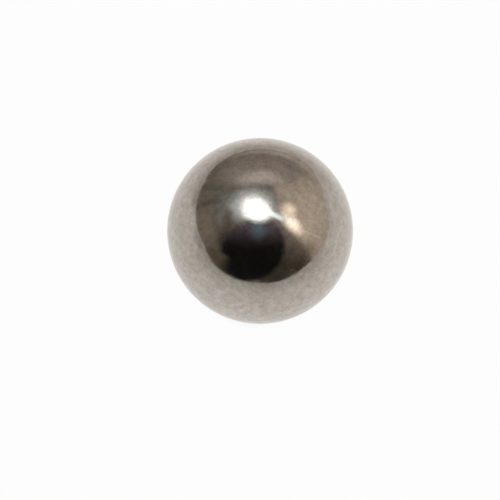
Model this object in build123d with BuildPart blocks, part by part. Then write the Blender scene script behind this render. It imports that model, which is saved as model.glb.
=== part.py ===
from build123d import *
import os

# A loose steel ball: one solid sphere of through-hardened bearing steel, forged, ground and lapped.
# Millimetres, +Z up, origin at the ball's centre.

# Driving dimension
ball_diameter = 25.4  # nominal size of a 1 inch ball

# Ball: half of its round section, turned once about the vertical axis.
# Lapping leaves no pole, flat or seam, so nothing else is cut into the sphere.
with BuildPart() as ball:
    with BuildSketch(Plane.XZ) as half_section:
        with BuildLine() as outline:
            surface = CenterArc((0, 0), ball_diameter / 2, start_angle=-90, arc_size=180)
            Line(surface @ 1, surface @ 0)
        make_face()
    revolve(axis=Axis.Z)
ball.part.label = "ball"

# One STEP file for the one piece
os.makedirs("parts", exist_ok=True)
export_step(ball.part, "parts/ball.step")
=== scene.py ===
import math
import bpy
from mathutils import Matrix, Vector


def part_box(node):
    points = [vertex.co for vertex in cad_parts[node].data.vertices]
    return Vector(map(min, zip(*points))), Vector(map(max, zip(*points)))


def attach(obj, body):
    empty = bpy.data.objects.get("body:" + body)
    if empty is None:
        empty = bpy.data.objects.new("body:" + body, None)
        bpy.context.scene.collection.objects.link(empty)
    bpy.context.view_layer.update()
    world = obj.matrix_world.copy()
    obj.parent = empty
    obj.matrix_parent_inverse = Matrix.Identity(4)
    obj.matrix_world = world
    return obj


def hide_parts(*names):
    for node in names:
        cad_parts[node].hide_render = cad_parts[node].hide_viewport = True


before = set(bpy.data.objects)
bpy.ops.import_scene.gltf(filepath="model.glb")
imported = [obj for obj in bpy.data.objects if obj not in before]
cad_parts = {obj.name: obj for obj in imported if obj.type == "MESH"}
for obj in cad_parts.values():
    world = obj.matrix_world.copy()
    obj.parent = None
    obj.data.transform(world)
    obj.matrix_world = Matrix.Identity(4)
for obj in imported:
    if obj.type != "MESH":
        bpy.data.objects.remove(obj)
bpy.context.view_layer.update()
ballLow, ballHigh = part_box("ball")
ballCentre = (ballLow + ballHigh) / 2
ballRadius = min(ballHigh - ballLow) / 2  # the smallest half side, so the ball stays inside the CAD box
millimetre = 0.001
micrometre = 0.000001
perMillimetre = 1000.0
print("frame loaded, ball radius in mm:", round(ballRadius * perMillimetre, 3))


# Node helpers

def feedSocket(tree, socket, value):
    if isinstance(value, bpy.types.NodeSocket):
        tree.links.new(value, socket)
    else:
        socket.default_value = value


def pickSocket(sockets, key):
    if isinstance(key, int):
        return sockets[key]
    return next(s for s in sockets if s.name == key and s.enabled)


def addNode(tree, kind, inputs=None, **settings):
    made = tree.nodes.new(kind)
    for name, value in settings.items():
        setattr(made, name, value)
    for key, value in (inputs or {}).items():
        feedSocket(tree, pickSocket(made.inputs, key), value)
    return made


def calc(tree, operation, a, b=0.0, clamp=False):
    return addNode(tree, "ShaderNodeMath", {0: a, 1: b}, operation=operation, use_clamp=clamp).outputs[0]


def vectorCalc(tree, operation, a, b=(0.0, 0.0, 0.0)):
    made = addNode(tree, "ShaderNodeVectorMath", {0: a, 1: b}, operation=operation)
    gives = "Value" if operation in ("DISTANCE", "LENGTH", "DOT_PRODUCT") else "Vector"
    return made.outputs[gives]


def scaleVector(tree, vector, factor):
    made = addNode(tree, "ShaderNodeVectorMath", {0: vector, "Scale": factor}, operation="SCALE")
    return made.outputs["Vector"]


def smoothBetween(tree, value, low, high):
    # 0 below low, 1 above high, eased between them; low may be the larger of the two
    made = addNode(
        tree,
        "ShaderNodeMapRange",
        {"Value": value, "From Min": low, "From Max": high},
        interpolation_type="SMOOTHSTEP",
    )
    return made.outputs["Result"]


def mixColour(tree, share, first, second):
    made = addNode(tree, "ShaderNodeMix", data_type="RGBA")
    feedSocket(tree, made.inputs[0], share)
    feedSocket(tree, made.inputs[6], first)  # A and B of the colour kind
    feedSocket(tree, made.inputs[7], second)
    return made.outputs[2]


def newMaterial(name):
    made = bpy.data.materials.new(name)
    made.use_nodes = True
    made.node_tree.nodes.clear()
    return made, made.node_tree


def towards(azimuth, height):
    # unit vector; azimuth 0 is along +Y and 90 along +X
    a, h = math.radians(azimuth), math.radians(height)
    return Vector((math.sin(a) * math.cos(h), math.cos(a) * math.cos(h), math.sin(h)))


# Polished steel: warm grey lapped metal with a thin film, fine grain, haze, hairlines, scratches and
# specks, and one streak with a painted glint
steelFinish = {
    "cleanSteel": (0.545, 0.506, 0.465, 1.0),
    "filmedSteel": (0.460, 0.423, 0.383, 1.0),
    "pinkFilm": (0.512, 0.465, 0.436, 1.0),
    "greenFilm": (0.488, 0.467, 0.420, 1.0),
    "speckSteel": (0.320, 0.288, 0.256, 1.0),
    # bare steel lifted to a painted glint, for the light streak
    "bareSteelGlint": (0.800, 0.765, 0.725, 1.0),
    # noises: size of the cells in mm, detail, slice of the 4D noise (None for the 3D one), roughness
    "filmNoise": (5.0, 3.0),
    "tintNoise": (2.0, 2.0, 5.1),
    "mottleNoise": (0.9, 4.0, None, 0.66),
    "grainNoise": (0.28, 2.0, 2.3),
    "hazeNoise": (2.2, 2.0),
    "filmRange": (0.34, 0.70),       # of the film noise, from clean to filmed
    "tintRange": (0.36, 0.64),       # from pink to green
    "tintShare": 0.6,
    "mottleDepth": 0.46,             # share of the colour that the cloudy marks take and give
    "grainDepth": 0.16,              # the same for the grain that lapping leaves
    "grainHeight": 3.2,              # um
    "speckSpacing": 0.72,            # mm
    "speckEdge": (0.32, 0.12),       # distance from a speck's middle, as a share of the spacing
    "speckChance": (0.76, 0.92),     # most places have no speck, and some a faint one
    "speckShade": 0.55,
    "speckDepth": 1.6,               # um
    "roughClean": 0.070,
    "roughHaze": 0.050,              # added where the haze is thickest
    "hazeRange": (0.36, 0.70),
    "roughLine": 0.13,               # added on a hairline
    "lineSpacing": 1.1,              # mm between neighbouring hairlines of one direction
    "lineDetail": 1.5,
    "lineRoughness": 0.45,
    "lineSlice": 3.7,                # step in the 4D noise from one direction to the next
    "lineStretch": 0.045,            # how much narrower than long the cells are that draw them
    "lineWidth": 0.010,              # share of a cell's height
    "lineDepth": 0.42,               # um
    "lineTurns": [(0.3, 0.2, 0.1), (1.2, 0.5, 0.4), (0.4, 1.4, 0.9), (2.1, 0.8, 1.7), (1.6, 2.4, 0.6)],
    "linePatchNoise": (3.4, 1.0),    # breaks the hairlines up
    "linePatchSlice": 11.3,
    "linePatchRange": (0.50, 0.66),
    "roughScratch": 0.42,            # added on a scratch
    "scratchDepth": 0.8,             # um
    "scratchStray": 0.02,            # how far a scratch strays from its line, as a share of the radius
    "scratchCore": 0.3,              # share of the width that has the full depth
    "scratchTaper": 0.6,             # share of the length before the ends taper
    "smudgeFrom": 0.2,               # a mark as dark as this is a smudge, which neither roughens nor cuts
    # azimuth and height angle of both ends, in degrees, the width in mm, and how dark the mark is,
    # or how light where that is below 0: such a streak only colours the steel, lighter as a painted glint
    "scratches": [
        # a scratch of bare steel, painted lighter as a glint
        ((130, 58), (115, 41.5), 0.40, -0.28),
        ((129, 55), (119, 44), 0.10, 0.0),
        ((125, 60), (107, 49), 0.10, 0.0),
        ((-179, 26), (174, 21), 0.42, 0.30),
        ((166, 26), (162, 19), 0.20, 0.25),
        ((65, 63), (77, 61), 0.30, 0.35),
        ((25, 62), (37, 60), 0.28, 0.35),
        ((-136, 13), (-144, 19), 0.50, 0.28),
        ((-166, 12), (-171, 10), 0.34, 0.40),
        ((168, 10), (163, 14), 0.26, 0.25),
        ((-40, 20), (-22, -8), 0.14, 0.10),
        ((40, -20), (70, -6), 0.14, 0.10),
        ((-100, -24), (-84, 2), 0.12, 0.10),
        ((10, 4), (2, 36), 0.12, 0.0),
        ((-60, 34), (-78, 52), 0.10, 0.0),
    ],
}


def noiseValue(tree, place, size, detail, w=None, roughness=0.5):
    # noise whose cells are about the given size in mm
    inputs = {"Vector": place, "Scale": perMillimetre / size, "Detail": detail, "Roughness": roughness}
    if w is not None:
        return addNode(tree, "ShaderNodeTexNoise", {**inputs, "W": w}, noise_dimensions="4D").outputs[0]
    return addNode(tree, "ShaderNodeTexNoise", inputs).outputs[0]


def hairlineLayer(tree, place, turn, index):
    # long thin level lines of a noise that is stretched along one turned axis, broken up by a second noise
    spec = steelFinish
    stretch = (1.0, 1.0, spec["lineStretch"])
    turned = addNode(
        tree, "ShaderNodeMapping", {"Vector": place, "Rotation": turn, "Scale": stretch}
    ).outputs[0]
    cut = spec["lineSlice"] * index
    waves = noiseValue(tree, turned, spec["lineSpacing"], spec["lineDetail"], cut, spec["lineRoughness"])
    level = calc(tree, "ABSOLUTE", calc(tree, "SUBTRACT", waves, 0.5))
    line = smoothBetween(tree, level, spec["lineWidth"], 0.0)
    patch = noiseValue(tree, place, *spec["linePatchNoise"], spec["linePatchSlice"] * index)
    return calc(tree, "MULTIPLY", line, smoothBetween(tree, patch, *spec["linePatchRange"]))


def scratchLayer(tree, outward, wobble, first, last, width):
    # a tapered line along the great circle through two places on the ball
    spec = steelFinish
    a, b = towards(*first), towards(*last)
    across = a.cross(b).normalized()
    middle = (a + b).normalized()
    sideways = vectorCalc(tree, "DOT_PRODUCT", outward, across)
    offset = calc(tree, "ABSOLUTE", calc(tree, "ADD", sideways, wobble))
    halfWidth = width / 2 * millimetre / ballRadius
    line = smoothBetween(tree, offset, halfWidth, halfWidth * spec["scratchCore"])
    reach = a.angle(b) / 2
    along = vectorCalc(tree, "DOT_PRODUCT", outward, middle)
    taper = smoothBetween(tree, along, math.cos(reach), math.cos(reach * spec["scratchTaper"]))
    return calc(tree, "MULTIPLY", line, taper)


def polishedSteel():
    spec = steelFinish
    made, tree = newMaterial("polishedSteel")
    place = addNode(tree, "ShaderNodeTexCoord").outputs["Object"]
    outward = vectorCalc(tree, "NORMALIZE", vectorCalc(tree, "SUBTRACT", place, ballCentre))

    film = noiseValue(tree, place, *spec["filmNoise"])
    tint = noiseValue(tree, place, *spec["tintNoise"])
    mottle = noiseValue(tree, place, *spec["mottleNoise"])
    grain = noiseValue(tree, place, *spec["grainNoise"])
    haze = noiseValue(tree, place, *spec["hazeNoise"])
    speckScale = perMillimetre / spec["speckSpacing"]
    specks = addNode(tree, "ShaderNodeTexVoronoi", {"Vector": place, "Scale": speckScale})
    chosen = addNode(tree, "ShaderNodeSeparateColor", {"Color": specks.outputs["Color"]}).outputs[0]
    speckMask = calc(
        tree,
        "MULTIPLY",
        smoothBetween(tree, specks.outputs["Distance"], *spec["speckEdge"]),
        smoothBetween(tree, chosen, *spec["speckChance"]),
    )
    lines = 0.0
    for index, turn in enumerate(spec["lineTurns"]):
        lines = calc(tree, "MAXIMUM", hairlineLayer(tree, place, turn, index), lines)
    wobble = calc(tree, "MULTIPLY", calc(tree, "SUBTRACT", mottle, 0.5), spec["scratchStray"])
    scratched, smudged, paintedGlint = 0.0, 0.0, 0.0
    for first, last, width, dark in spec["scratches"]:
        mark = scratchLayer(tree, outward, wobble, first, last, width)
        if 0.0 <= dark < spec["smudgeFrom"]:
            scratched = calc(tree, "MAXIMUM", mark, scratched)
        if dark < 0.0:
            paintedGlint = calc(tree, "MAXIMUM", calc(tree, "MULTIPLY", mark, -dark), paintedGlint)
        else:
            smudged = calc(tree, "MAXIMUM", calc(tree, "MULTIPLY", mark, dark), smudged)

    # colour: clean steel under a drifting, faintly tinted film, with cloudy marks, grain, dark specks
    # and smudges, and a light streak of bare steel whose lightness is a painted glint
    filmShare = smoothBetween(tree, film, *spec["filmRange"])
    filmed = mixColour(tree, filmShare, spec["cleanSteel"], spec["filmedSteel"])
    tintSide = smoothBetween(tree, tint, *spec["tintRange"])
    tinted = mixColour(tree, tintSide, spec["pinkFilm"], spec["greenFilm"])
    base = mixColour(tree, spec["tintShare"], filmed, tinted)
    mottled = calc(tree, "MULTIPLY", mottle, spec["mottleDepth"] * 2)
    cloudy = calc(tree, "ADD", mottled, 1.0 - spec["mottleDepth"])
    grainy = calc(tree, "MULTIPLY", calc(tree, "SUBTRACT", grain, 0.5), spec["grainDepth"] * 2)
    marked = scaleVector(tree, base, calc(tree, "ADD", cloudy, grainy))
    worn = calc(tree, "MAXIMUM", calc(tree, "MULTIPLY", speckMask, spec["speckShade"]), smudged)
    colour = mixColour(tree, worn, marked, spec["speckSteel"])
    # painted glint: the light streak takes a lighter steel colour
    colour = mixColour(tree, paintedGlint, colour, spec["bareSteelGlint"])

    # roughness: mirror lap, clouded by haze, frosted on each hairline and scratch
    hazed = calc(tree, "MULTIPLY", smoothBetween(tree, haze, *spec["hazeRange"]), spec["roughHaze"])
    frosted = calc(
        tree,
        "MAXIMUM",
        calc(tree, "MULTIPLY", lines, spec["roughLine"]),
        calc(tree, "MULTIPLY", scratched, spec["roughScratch"]),
    )
    rough = calc(tree, "ADD", calc(tree, "ADD", hazed, spec["roughClean"]), frosted)

    # bump, in um: the grain stands up, and hairlines, scratches and specks are cut in
    height = calc(tree, "MULTIPLY", grain, spec["grainHeight"])
    for mask, depth in ((lines, "lineDepth"), (scratched, "scratchDepth"), (speckMask, "speckDepth")):
        height = calc(tree, "SUBTRACT", height, calc(tree, "MULTIPLY", mask, spec[depth]))
    bump = addNode(tree, "ShaderNodeBump", {"Strength": 1.0, "Distance": micrometre, "Height": height})

    shader = addNode(
        tree,
        "ShaderNodeBsdfPrincipled",
        {"Base Color": colour, "Metallic": 1.0, "Roughness": rough, "Normal": bump.outputs[0]},
    )
    addNode(tree, "ShaderNodeOutputMaterial", {"Surface": shader.outputs[0]})
    return made


# Ball: a cube's even grid blown up to the lapped radius, with shallow nicks scattered over it
# and a few larger dings at listed places
ballSpec = {
    "divisions": 124,       # quads along each side of the grid
    "nickCount": 240,
    "nickRadius": 0.00030,  # m, the largest
    "nickDepth": 0.000004,  # m, the largest
    "nickLeast": 0.35,      # size of the smallest, as a share of the largest
    "dingRadius": 0.00055,  # m, the largest
    "dingDepth": 0.000009,  # m, the largest
    "seed": 11,
    # azimuth and height angle of each ding, in degrees, and its size as a share of the largest
    "dings": [
        (20, 22, 0.8),
        (118, -12, 1.0),
        (214, 48, 0.6),
        (262, 14, 0.9),
        (305, -34, 0.7),
        (62, 66, 0.5),
    ],
}


def dentDepth(tree, place, points, reach, depth):
    # depth at a point of the ball, from the nearest dent: a smooth bowl that ends level with the surface
    nearest = addNode(
        tree, "GeometryNodeSampleNearest", {"Geometry": points, "Sample Position": place}
    ).outputs[0]
    dentPlace = addNode(tree, "GeometryNodeInputPosition").outputs[0]
    dentShare = addNode(
        tree, "GeometryNodeInputNamedAttribute", {"Name": "dentShare"}, data_type="FLOAT"
    ).outputs[0]
    centre = addNode(
        tree,
        "GeometryNodeSampleIndex",
        {"Geometry": points, "Value": dentPlace, "Index": nearest},
        data_type="FLOAT_VECTOR",
    ).outputs[0]
    share = addNode(
        tree,
        "GeometryNodeSampleIndex",
        {"Geometry": points, "Value": dentShare, "Index": nearest},
        data_type="FLOAT",
    ).outputs[0]
    bowlRadius = calc(tree, "MULTIPLY", reach, share)
    away = calc(tree, "DIVIDE", vectorCalc(tree, "DISTANCE", place, centre), bowlRadius)
    rim = calc(tree, "SUBTRACT", 1.0, calc(tree, "MULTIPLY", away, away), clamp=True)
    return calc(tree, "MULTIPLY", calc(tree, "MULTIPLY", rim, rim), calc(tree, "MULTIPLY", depth, share))


def lappedBallTree():
    tree = bpy.data.node_groups.new("lappedBall", "GeometryNodeTree")
    sockets = [
        ("Dings", "NodeSocketGeometry"),
        ("Centre", "NodeSocketVector"),
        ("Radius", "NodeSocketFloat"),
        ("Divisions", "NodeSocketInt"),
        ("Nick Count", "NodeSocketFloat"),
        ("Nick Radius", "NodeSocketFloat"),
        ("Nick Depth", "NodeSocketFloat"),
        ("Ding Radius", "NodeSocketFloat"),
        ("Ding Depth", "NodeSocketFloat"),
        ("Seed", "NodeSocketInt"),
        ("Finish", "NodeSocketMaterial"),
    ]
    for name, kind in sockets:
        tree.interface.new_socket(name, in_out="INPUT", socket_type=kind)
    tree.interface.new_socket("Ball", in_out="OUTPUT", socket_type="NodeSocketGeometry")
    given = addNode(tree, "NodeGroupInput").outputs

    # even grid on a cube, spaced by equal angles, then blown up to the radius
    across = calc(tree, "ADD", given["Divisions"], 1.0)
    cube = addNode(
        tree,
        "GeometryNodeMeshCube",
        {"Size": (2.0, 2.0, 2.0), "Vertices X": across, "Vertices Y": across, "Vertices Z": across},
    ).outputs["Mesh"]
    gridPlace = addNode(tree, "GeometryNodeInputPosition").outputs[0]
    spaced = vectorCalc(tree, "TANGENT", scaleVector(tree, gridPlace, math.pi / 4))
    outward = vectorCalc(tree, "NORMALIZE", spaced)
    onBall = scaleVector(tree, outward, given["Radius"])
    blown = addNode(tree, "GeometryNodeSetPosition", {"Geometry": cube, "Position": onBall}).outputs[0]

    # nicks: seeded points over the surface, each with its own share of the largest size
    surface = calc(tree, "MULTIPLY", calc(tree, "MULTIPLY", given["Radius"], given["Radius"]), 4 * math.pi)
    density = calc(tree, "DIVIDE", given["Nick Count"], surface)
    nicks = addNode(
        tree,
        "GeometryNodeDistributePointsOnFaces",
        {"Mesh": blown, "Density": density, "Seed": given["Seed"]},
        distribute_method="RANDOM",
    ).outputs["Points"]
    share = addNode(
        tree,
        "FunctionNodeRandomValue",
        {2: ballSpec["nickLeast"], 3: 1.0, "Seed": given["Seed"]},  # 2 and 3 are the float Min and Max
        data_type="FLOAT",
    )
    shareValue = next(s for s in share.outputs if s.enabled)
    nicks = addNode(
        tree,
        "GeometryNodeStoreNamedAttribute",
        {"Geometry": nicks, "Name": "dentShare", "Value": shareValue},
        data_type="FLOAT",
        domain="POINT",
    ).outputs[0]

    # each point sinks by the nick and the ding nearest to it
    place = addNode(tree, "GeometryNodeInputPosition").outputs[0]
    sunk = calc(
        tree,
        "ADD",
        dentDepth(tree, place, nicks, given["Nick Radius"], given["Nick Depth"]),
        dentDepth(tree, place, given["Dings"], given["Ding Radius"], given["Ding Depth"]),
    )
    inward = scaleVector(tree, vectorCalc(tree, "NORMALIZE", place), calc(tree, "MULTIPLY", sunk, -1.0))
    worn = addNode(tree, "GeometryNodeSetPosition", {"Geometry": blown, "Offset": inward}).outputs[0]
    toCentre = {"Geometry": worn, "Offset": given["Centre"]}
    placed = addNode(tree, "GeometryNodeSetPosition", toCentre).outputs[0]
    smooth = addNode(tree, "GeometryNodeSetShadeSmooth", {"Geometry": placed}).outputs[0]
    real = addNode(tree, "GeometryNodeRealizeInstances", {"Geometry": smooth}).outputs[0]
    finished = {"Geometry": real, "Material": given["Finish"]}
    dressed = addNode(tree, "GeometryNodeSetMaterial", finished).outputs[0]
    addNode(tree, "NodeGroupOutput", {"Ball": dressed})
    return tree


def addBall(finish):
    spec = ballSpec
    dingMesh = bpy.data.meshes.new("ballDings")
    dingMesh.from_pydata([towards(a, h) * ballRadius for a, h, share in spec["dings"]], [], [])
    shares = dingMesh.attributes.new("dentShare", "FLOAT", "POINT")
    shares.data.foreach_set("value", [share for a, h, share in spec["dings"]])
    ball = bpy.data.objects.new("steelBall", dingMesh)
    bpy.context.scene.collection.objects.link(ball)

    maker = ball.modifiers.new("lappedBall", "NODES")
    maker.node_group = lappedBallTree()
    values = {
        "Centre": ballCentre,
        "Radius": ballRadius,
        "Divisions": spec["divisions"],
        "Nick Count": float(spec["nickCount"]),
        "Nick Radius": spec["nickRadius"],
        "Nick Depth": spec["nickDepth"],
        "Ding Radius": spec["dingRadius"],
        "Ding Depth": spec["dingDepth"],
        "Seed": spec["seed"],
        "Finish": finish,
    }
    for item in maker.node_group.interface.items_tree:
        if item.in_out == "INPUT" and item.name in values:
            maker[item.identifier] = values[item.name]

    graph = bpy.context.evaluated_depsgraph_get()
    made = bpy.data.meshes.new_from_object(ball.evaluated_get(graph), depsgraph=graph)
    ball.modifiers.remove(maker)
    ball.data = made
    made.name = "steelBall"
    bpy.data.meshes.remove(dingMesh)
    print("ball made, faces:", len(made.polygons))
    return ball


steelBall = addBall(polishedSteel())
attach(steelBall, "root")
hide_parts("ball")


# Paper sheet that the ball lies on, curled up at its two ends: white to the camera, and in the mirror lit
# paper with painted light and painted shade over it
sheetSpec = {
    "halfWidth": 0.45,              # m, along X
    "frontDepth": 0.26,             # m, along Y
    "backDepth": 0.30,
    "columns": 30,
    "rows": 6,
    "leftCurl": (0.25, 0.037),      # m from the ball where the end starts to rise, and its rise
    "leftBend": 2.0,                # power of the curve that it rises by
    "rightCurl": (0.12, 0.038),
    "rightBend": 1.1,
    "rightCorner": 0.060,           # m more at the far right corner
    "cornerBend": 2.0,
    "paper": (0.86, 0.85, 0.835, 1.0),
    "white": (1.0, 1.0, 1.0, 1.0),
    "mirrorWhite": (0.965, 0.935, 0.912, 1.0),  # the same, tinted as painted warm lamp light, as the steel mirrors it
    "cameraLift": 0.97,             # share of white over the lit paper that the camera sees
    "mirrorLift": 0.30,             # and that the steel mirrors, away from these patches:
    "poolLift": 0.55,               # more in a painted pool of light under the lamp
    "poolPlace": (0.005, 0.010, 0.0),
    "poolRange": (0.090, 0.010),    # m from the pool's middle
    "rightLift": 0.33,              # more to the right, as painted light
    "rightReach": (0.030, 0.085),   # m from the ball
    "rightSlant": 0.75,             # m that its far edge leans to the right for each m behind the ball
    "rightRange": (-0.020, 0.060),  # m along X from that edge
    "rightDepth": (-0.090, 0.020),  # m along Y
    "rightFade": (0.550, 0.180),    # m from the ball, over which it is lost
    "leftLift": 0.28,               # more to the left, as painted light
    "leftRange": (-0.025, -0.085),  # m along X
    "leftDepth": (0.090, 0.015),    # m either way along Y
    "leftFade": (0.620, 0.300),     # m from the ball, over which it is lost
    "backLift": -0.10,              # less at the back, as painted shade
    "backRange": (0.050, 0.110),    # m along Y
    "backSide": (0.100, -0.050),    # m along X
    "shadeRange": (0.003, 0.009),   # m from where the ball touches the sheet
    "shadeLift": 0.15,              # share of the lift that is left there
}


def sheetFinish():
    spec = sheetSpec
    made, tree = newMaterial("whitePaper")
    place = addNode(tree, "ShaderNodeTexCoord").outputs["Object"]
    axes = addNode(tree, "ShaderNodeSeparateXYZ", {"Vector": place}).outputs
    away = vectorCalc(tree, "LENGTH", place)
    poolAway = vectorCalc(tree, "DISTANCE", place, spec["poolPlace"])
    rays = addNode(tree, "ShaderNodeLightPath").outputs
    mirrored = calc(tree, "ADD", rays["Is Glossy Ray"], rays["Is Transmission Ray"], clamp=True)
    paper = addNode(tree, "ShaderNodeBsdfDiffuse", {"Color": spec["paper"]})
    # the steel sees the paper's white with a painted warm tint of lamp light
    white = mixColour(tree, mirrored, spec["white"], spec["mirrorWhite"])
    glow = addNode(tree, "ShaderNodeEmission", {"Color": white})
    sideways, deep = axes["X"], axes["Y"]
    offMiddle = calc(tree, "ABSOLUTE", deep)
    pastEdge = calc(tree, "SUBTRACT", sideways, calc(tree, "MULTIPLY", deep, spec["rightSlant"]))
    # painted light and shade in the mirror: a painted pool of light under the lamp, painted light to the
    # right and left, painted shade at the back
    rightRamps = [(pastEdge, "rightRange"), (deep, "rightDepth"), (away, "rightReach"), (away, "rightFade")]
    patches = [
        ("poolLift", [(poolAway, "poolRange")]),
        ("rightLift", rightRamps),
        ("leftLift", [(sideways, "leftRange"), (offMiddle, "leftDepth"), (away, "leftFade")]),
        ("backLift", [(deep, "backRange"), (sideways, "backSide")]),
    ]
    lift = spec["mirrorLift"]
    for patch, ramps in patches:
        amount = spec[patch]
        for value, ramp in ramps:
            amount = calc(tree, "MULTIPLY", smoothBetween(tree, value, *spec[ramp]), amount)
        lift = calc(tree, "ADD", amount, lift)
    share = calc(
        tree,
        "ADD",
        calc(tree, "MULTIPLY", rays["Is Camera Ray"], spec["cameraLift"]),
        calc(tree, "MULTIPLY", mirrored, lift),
    )
    # close under the ball the paper keeps its own shade
    outOfShade = smoothBetween(tree, away, *spec["shadeRange"])
    clearOfBall = calc(tree, "MULTIPLY", outOfShade, 1.0 - spec["shadeLift"])
    share = calc(tree, "MULTIPLY", share, calc(tree, "ADD", clearOfBall, spec["shadeLift"]))
    both = addNode(tree, "ShaderNodeMixShader", {0: share, 1: paper.outputs[0], 2: glow.outputs[0]})
    addNode(tree, "ShaderNodeOutputMaterial", {"Surface": both.outputs[0]})
    return made


def curlRise(x, y):
    spec = sheetSpec
    start, rise = spec["leftCurl"] if x < 0 else spec["rightCurl"]
    curled = max(0.0, abs(x) - start) / (spec["halfWidth"] - start)
    if x < 0:
        return rise * curled ** spec["leftBend"]
    towardsCorner = (max(0.0, y) / spec["backDepth"]) ** spec["cornerBend"]
    return (rise + spec["rightCorner"] * towardsCorner) * curled ** spec["rightBend"]


def addSheet():
    spec = sheetSpec
    columns, rows = spec["columns"], spec["rows"]
    corners = []
    for row in range(rows + 1):
        for column in range(columns + 1):
            x = spec["halfWidth"] * (2 * column / columns - 1)
            y = (spec["frontDepth"] + spec["backDepth"]) * row / rows - spec["frontDepth"]
            corners.append((x, y, curlRise(x, y)))
    wide = columns + 1
    starts = [row * wide + column for row in range(rows) for column in range(columns)]
    mesh = bpy.data.meshes.new("paperSheet")
    mesh.from_pydata(corners, [], [(k, k + 1, k + wide + 1, k + wide) for k in starts])
    mesh.shade_smooth()
    mesh.materials.append(sheetFinish())
    sheet = bpy.data.objects.new("paperSheet", mesh)
    sheet.location = (ballCentre.x, ballCentre.y, ballLow.z)
    bpy.context.scene.collection.objects.link(sheet)


addSheet()
print("paper sheet laid")


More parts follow.
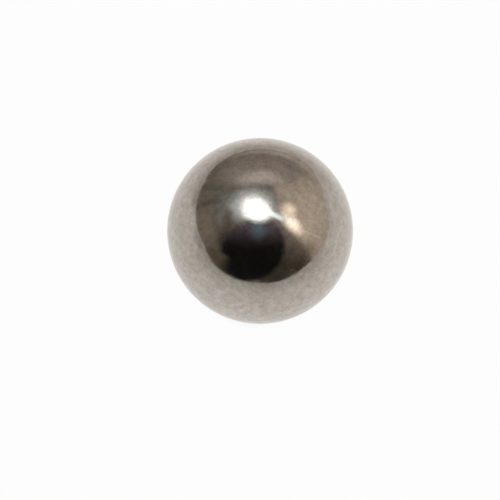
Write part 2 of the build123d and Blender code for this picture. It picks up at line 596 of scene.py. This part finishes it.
# Studio lamps and cards round the ball. Each has the azimuth and height angle of its middle in degrees,
# its distance from the ball and its size in m, and its colour. The rest is as on a plain card, or given:
# a turn in degrees about its own middle, the power that rounds its corners, the soft share of its edge,
# how strongly it shines, a second colour with where it starts and ends along the card and the slant of
# that line in degrees, and how many ribs notch the rim and how deep. A level card lies flat.
plainCard = {"turn": 0, "corner": 2.0, "soft": 1.0, "strength": 1.0, "topSlant": 0, "level": False}
cardSpecs = {
    "overheadLamp": {
        "at": (-112, 80.9), "distance": 0.150, "size": (0.060, 0.060), "turn": 15, "soft": 0.7,
        "colour": (1.0, 0.995, 0.985), "strength": 8.0, "ribs": 7, "ribDepth": 0.08,
    },
    "lampHalo": {
        "at": (-111, 80.8), "distance": 0.153, "size": (0.127, 0.127), "turn": 140,
        "colour": (0.93, 0.99, 1.0), "strength": 5.0, "ribs": 2, "ribDepth": 0.14,
    },
    "stripLamp": {
        "at": (109.6, 73.6), "distance": 0.40, "size": (0.052, 0.215), "turn": 9.5,
        "corner": 3.0, "soft": 0.8,
        "colour": (0.80, 0.96, 1.0), "strength": 2.5,
    },
    # a painted sheen of the lamp's light on the flag's top
    "slateSheen": {
        "at": (-173.5, 64.5), "distance": 0.31, "size": (0.172, 0.190),
        "colour": (0.130, 0.192, 0.245),
    },
    # the flag's lighter top colour is painted lamp light falling on its top
    "blackFlag": {
        "at": (-173.8, 37.3), "distance": 0.36, "size": (0.592, 0.754), "turn": -29, "soft": 0.26,
        "colour": (0.009, 0.009, 0.009),
        "topColour": (0.170, 0.130, 0.150), "topRange": (0.0, 0.9), "topSlant": -36,
    },
    # a low dark card that darkens the paper beyond it in the mirror, at the front left, lighter brown
    # towards its left end
    "lowDarkCard": {
        "at": (-157.6, 7.5), "distance": 0.165, "size": (0.238, 0.076), "soft": 0.30,
        "colour": (0.009, 0.009, 0.009),
        "topColour": (0.128, 0.104, 0.075), "topRange": (0.05, 0.45), "topSlant": -90,
    },
    "sideFlag": {
        "at": (-128.5, 28.5), "distance": 0.50, "size": (0.21, 0.46), "turn": 23,
        "colour": (0.082, 0.064, 0.048),
    },
    "brownCard": {
        "at": (152.5, 32), "distance": 0.50, "size": (0.755, 1.14), "turn": 23, "corner": 8.0, "soft": 0.28,
        "colour": (0.058, 0.050, 0.035),
        "topColour": (0.300, 0.250, 0.215), "topRange": (-0.2, 0.95), "topSlant": 45,
    },
    "brownFade": {
        "at": (110.3, 14.9), "distance": 0.70, "size": (0.38, 0.43),
        "colour": (0.340, 0.275, 0.212),
    },
    "warmLamp": {
        "at": (102.2, 52.2), "distance": 0.47, "size": (0.195, 0.375), "turn": -8,
        "colour": (1.0, 0.86, 0.73), "strength": 2.5,
        "topColour": (1.0, 0.97, 0.89), "topRange": (-0.5, 0.9),
    },
    "warmLampHigh": {
        "at": (77.4, 60.4), "distance": 0.60, "size": (0.27, 0.30),
        "colour": (1.0, 0.84, 0.66), "strength": 1.8,
    },
    "warmGlow": {
        "at": (38, 56), "distance": 0.66, "size": (0.50, 0.46),
        "colour": (1.0, 0.86, 0.73), "strength": 0.62,
    },
    "lampGlow": {
        "at": (-86, 77), "distance": 0.62, "size": (0.70, 0.90),
        "colour": (0.93, 0.99, 1.0), "strength": 1.32,
    },
    # a wall whose glow is painted lamp light, lighter towards its top
    "beigeCard": {
        "at": (78, 26), "distance": 0.80, "size": (2.10, 1.50), "corner": 2.2, "soft": 0.9,
        "colour": (0.63, 0.54, 0.45),
        "topColour": (0.78, 0.66, 0.545), "topRange": (-0.5, 0.9),
    },
    "ceilingGlow": {
        "at": (-14, 48), "distance": 0.86, "size": (1.00, 0.48), "soft": 0.9,
        "colour": (0.66, 0.58, 0.545),
    },
    "lowBounce": {
        "at": (10, 2), "distance": 0.70, "size": (1.75, 0.24),
        "colour": (0.50, 0.455, 0.405),
    },
    "taupeCard": {
        "at": (-10, 30), "distance": 0.90, "size": (2.00, 1.20), "corner": 2.4, "soft": 0.6,
        "colour": (0.275, 0.233, 0.207),
        "topColour": (0.43, 0.375, 0.345), "topRange": (-0.8, 0.9),
    },
    "greyPanel": {
        "at": (-85, 56.7), "distance": 0.90, "size": (1.43, 0.72), "turn": 8, "corner": 8.0, "soft": 0.10,
        "colour": (0.225, 0.222, 0.210), "level": True,
    },
    "darkStripe": {
        "at": (-62, 15), "distance": 0.80, "size": (0.14, 0.80), "corner": 3.0, "soft": 0.7,
        "colour": (0.160, 0.145, 0.132),
    },
    "darkStripeLow": {
        "at": (-79, 18), "distance": 0.80, "size": (0.13, 0.80), "corner": 3.0, "soft": 0.7,
        "colour": (0.145, 0.130, 0.117),
    },
    "darkStripeFront": {
        "at": (-113, 44.0), "distance": 0.56, "size": (0.44, 0.20), "turn": -28,
        "colour": (0.165, 0.142, 0.112),
    },
    "brownSide": {
        "at": (-103, 12), "distance": 0.85, "size": (0.70, 0.62), "corner": 2.4, "soft": 0.7,
        "colour": (0.250, 0.212, 0.168),
    },
}


def opaque(colour):
    return (*colour, 1.0)


def cardFinish(name, spec):
    made, tree = newMaterial(name)
    place = addNode(tree, "ShaderNodeTexCoord").outputs["Object"]
    axes = addNode(tree, "ShaderNodeSeparateXYZ", {"Vector": place}).outputs
    halves = [calc(tree, "ABSOLUTE", axes[axis]) for axis in ("X", "Y")]
    powers = [calc(tree, "POWER", half, spec["corner"]) for half in halves]
    reach = calc(tree, "POWER", calc(tree, "ADD", powers[0], powers[1]), 1 / spec["corner"])
    if "ribs" in spec:
        # the ribs of a lamp's shade notch its rim
        angle = calc(tree, "MULTIPLY", calc(tree, "ARCTAN2", axes["Y"], axes["X"]), float(spec["ribs"]))
        ripple = calc(tree, "MULTIPLY", calc(tree, "COSINE", angle), spec["ribDepth"])
        reach = calc(tree, "MULTIPLY", reach, calc(tree, "ADD", ripple, 1.0 + spec["ribDepth"]))
    shown = smoothBetween(tree, reach, 1.0, 1.0 - spec["soft"])
    colour = opaque(spec["colour"])
    if "topColour" in spec:
        slant = math.radians(spec["topSlant"])
        along = vectorCalc(tree, "DOT_PRODUCT", place, (math.sin(slant), math.cos(slant), 0.0))
        rise = smoothBetween(tree, along, *spec["topRange"])
        colour = mixColour(tree, rise, colour, opaque(spec["topColour"]))
    clear = addNode(tree, "ShaderNodeBsdfTransparent")
    glow = addNode(tree, "ShaderNodeEmission", {"Color": colour, "Strength": spec["strength"]})
    both = addNode(tree, "ShaderNodeMixShader", {0: shown, 1: clear.outputs[0], 2: glow.outputs[0]})
    addNode(tree, "ShaderNodeOutputMaterial", {"Surface": both.outputs[0]})
    return made


def addCard(name, spec):
    mesh = bpy.data.meshes.new(name)
    mesh.from_pydata([(-1, -1, 0), (1, -1, 0), (1, 1, 0), (-1, 1, 0)], [], [(0, 1, 2, 3)])
    mesh.materials.append(cardFinish(name, spec))
    card = bpy.data.objects.new(name, mesh)
    away = towards(*spec["at"])
    turned = Matrix.Rotation(math.radians(spec["turn"]), 3, "Z").to_quaternion()
    width, height = spec["size"]
    card.location = ballCentre + away * spec["distance"]
    card.rotation_mode = "QUATERNION"
    card.rotation_quaternion = turned if spec["level"] else away.to_track_quat("Z", "Y") @ turned
    card.scale = (width / 2, height / 2, 1.0)
    card.visible_camera = False  # a card never stands between the camera and the ball
    bpy.context.scene.collection.objects.link(card)


for cardName, cardSpec in cardSpecs.items():
    addCard(cardName, {**plainCard, **cardSpec})
print("studio cards set:", len(cardSpecs))


# Studio surround: plain taupe, warmer and lighter to the right
surroundSpec = {
    "left": (0.195, 0.175, 0.145, 1.0),
    "right": (0.420, 0.355, 0.295, 1.0),
    "sideRange": (-0.7, 0.8),  # X of the direction, from the left tone to the right one
    "unevenness": 0.20,
    "cloudScale": 3.0,
    "cloudDetail": 2.0,
}


def addSurround():
    spec = surroundSpec
    world = bpy.data.worlds.new("taupeSurround")
    world.use_nodes = True
    tree = world.node_tree
    tree.nodes.clear()
    direction = addNode(tree, "ShaderNodeTexCoord").outputs["Generated"]
    side = addNode(tree, "ShaderNodeSeparateXYZ", {"Vector": direction}).outputs["X"]
    tone = mixColour(tree, smoothBetween(tree, side, *spec["sideRange"]), spec["left"], spec["right"])
    clouds = addNode(
        tree,
        "ShaderNodeTexNoise",
        {"Vector": direction, "Scale": spec["cloudScale"], "Detail": spec["cloudDetail"]},
    ).outputs[0]
    clouded = calc(tree, "MULTIPLY", clouds, 2 * spec["unevenness"])
    uneven = calc(tree, "ADD", clouded, 1.0 - spec["unevenness"])
    glow = addNode(tree, "ShaderNodeBackground", {"Color": tone, "Strength": uneven})
    addNode(tree, "ShaderNodeOutputWorld", {"Surface": glow.outputs[0]})
    bpy.context.scene.world = world


addSurround()
print("surround set")


# Camera: above the ball and a little tilted, with the ball where the photograph has it
cameraSpec = {
    "lens": 200.0,                # mm
    "sensor": 36.0,               # mm
    "clip": (0.01, 10.0),         # m, nearest and farthest that it sees
    "height": 63.0,               # degrees above level
    "roll": 10.0,                 # degrees
    "imageSide": 500.0,           # pixels
    "ballPixel": (260.1, 230.9),  # middle of the ball in the picture
    "ballPixelRadius": 93.0,
}


def addCamera():
    spec = cameraSpec
    data = bpy.data.cameras.new("studioCamera")
    data.lens = spec["lens"]
    data.sensor_width = spec["sensor"]
    data.clip_start, data.clip_end = spec["clip"]
    camera = bpy.data.objects.new("studioCamera", data)
    bpy.context.scene.collection.objects.link(camera)

    halfSide = spec["imageSide"] / 2
    perPixel = spec["sensor"] / 2 / spec["lens"] / halfSide  # slope of one pixel's line of sight
    distance = ballRadius / math.sin(math.atan(spec["ballPixelRadius"] * perPixel))
    rightShift = (spec["ballPixel"][0] - halfSide) * perPixel * distance
    upShift = (halfSide - spec["ballPixel"][1]) * perPixel * distance
    back = towards(180, spec["height"])
    rolled = Matrix.Rotation(math.radians(spec["roll"]), 3, "Z").to_quaternion()
    facing = back.to_track_quat("Z", "Y") @ rolled
    right, up = facing @ Vector((1, 0, 0)), facing @ Vector((0, 1, 0))
    camera.location = ballCentre + back * distance - right * rightShift - up * upShift
    camera.rotation_mode = "QUATERNION"
    camera.rotation_quaternion = facing
    bpy.context.scene.camera = camera
    print("camera set, distance in mm:", round(distance * perMillimetre))


addCamera()
bpy.context.scene.view_settings.view_transform = "Standard"
